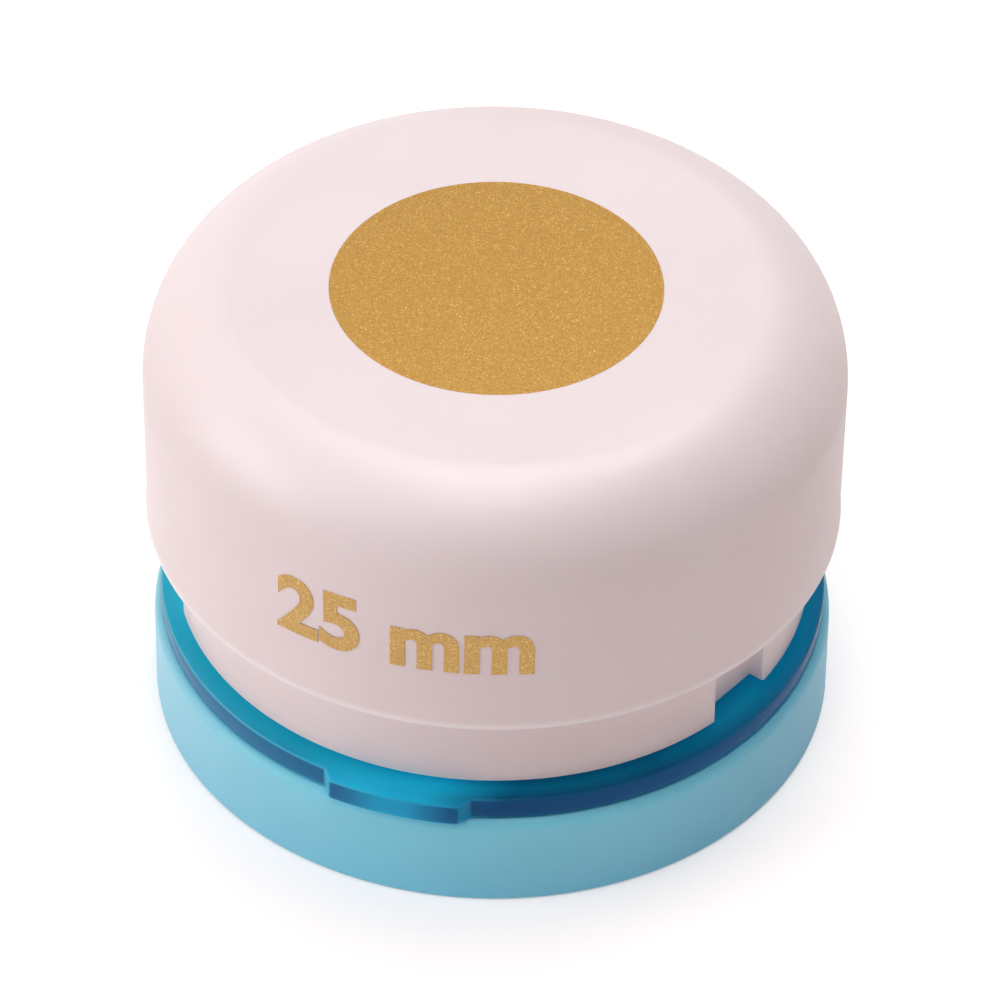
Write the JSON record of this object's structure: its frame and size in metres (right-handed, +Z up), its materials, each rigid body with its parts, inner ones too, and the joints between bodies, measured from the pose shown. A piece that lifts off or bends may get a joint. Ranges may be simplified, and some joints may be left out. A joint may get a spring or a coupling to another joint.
{
  "type": "circle punch",
  "caption": "Palm-press paper punch: a round cap drives a cup cutter through paper held in a slot over a clear base plate, and the cut disc drops into a pull-off tray.",
  "frame": {"origin": "middle of the underside of the chip tray, on the punch's own axis", "axes": "+Z up along the press axis, from the tray to the cap; -Y towards the thumb tab, which is the front; +X to the right of someone facing the tab"},
  "size_m": [0.054, 0.054, 0.039],
  "materials": {
    "blush_abs": "satin moulded ABS",
    "gold_foil": "metallic gold foil print with a fine sparkle",
    "clear_blue": "polished clear tinted plastic",
    "frosted_aqua": "frosted translucent moulding",
    "hard_steel": "ground and hardened",
    "cast_zinc": "die-cast zinc, tumbled",
    "spring_steel": "drawn wire, oiled",
    "grey_abs": "plain moulded"
  },
  "bodies": {
    "tray": {"chip_tray": "frosted_aqua"},
    "base": {"base_plate": "clear_blue", "die_plate": "cast_zinc", "slot_spacer": "hard_steel", "guide_block": "cast_zinc", "skirt_housing": "blush_abs", "dowel_pin_left": "hard_steel", "dowel_pin_right": "hard_steel", "die_screw_left": "hard_steel", "die_screw_right": "hard_steel", "body_screw_left": "hard_steel", "body_screw_right": "hard_steel", "return_spring": "spring_steel"},
    "press": {"press_cap": "blush_abs", "gold_print": "gold_foil", "cutter_holder": "grey_abs", "cutter": "hard_steel", "cutter_screw_1": "hard_steel", "cutter_screw_2": "hard_steel", "cutter_screw_3": "hard_steel", "spring_washer": "hard_steel"}
  },
  "joints": [
    {"name": "tray_release", "type": "slide", "parent": "tray", "child": "base", "axis": [0, 0, 1], "range_m": [0, 0.02]},
    {"name": "cap_press", "type": "slide", "parent": "base", "child": "press", "axis": [0, 0, -1], "range_m": [0, 0.006], "stiffness_N_per_m": 450, "springref_m": -0.014, "deforming": ["return_spring"]}
  ]
}
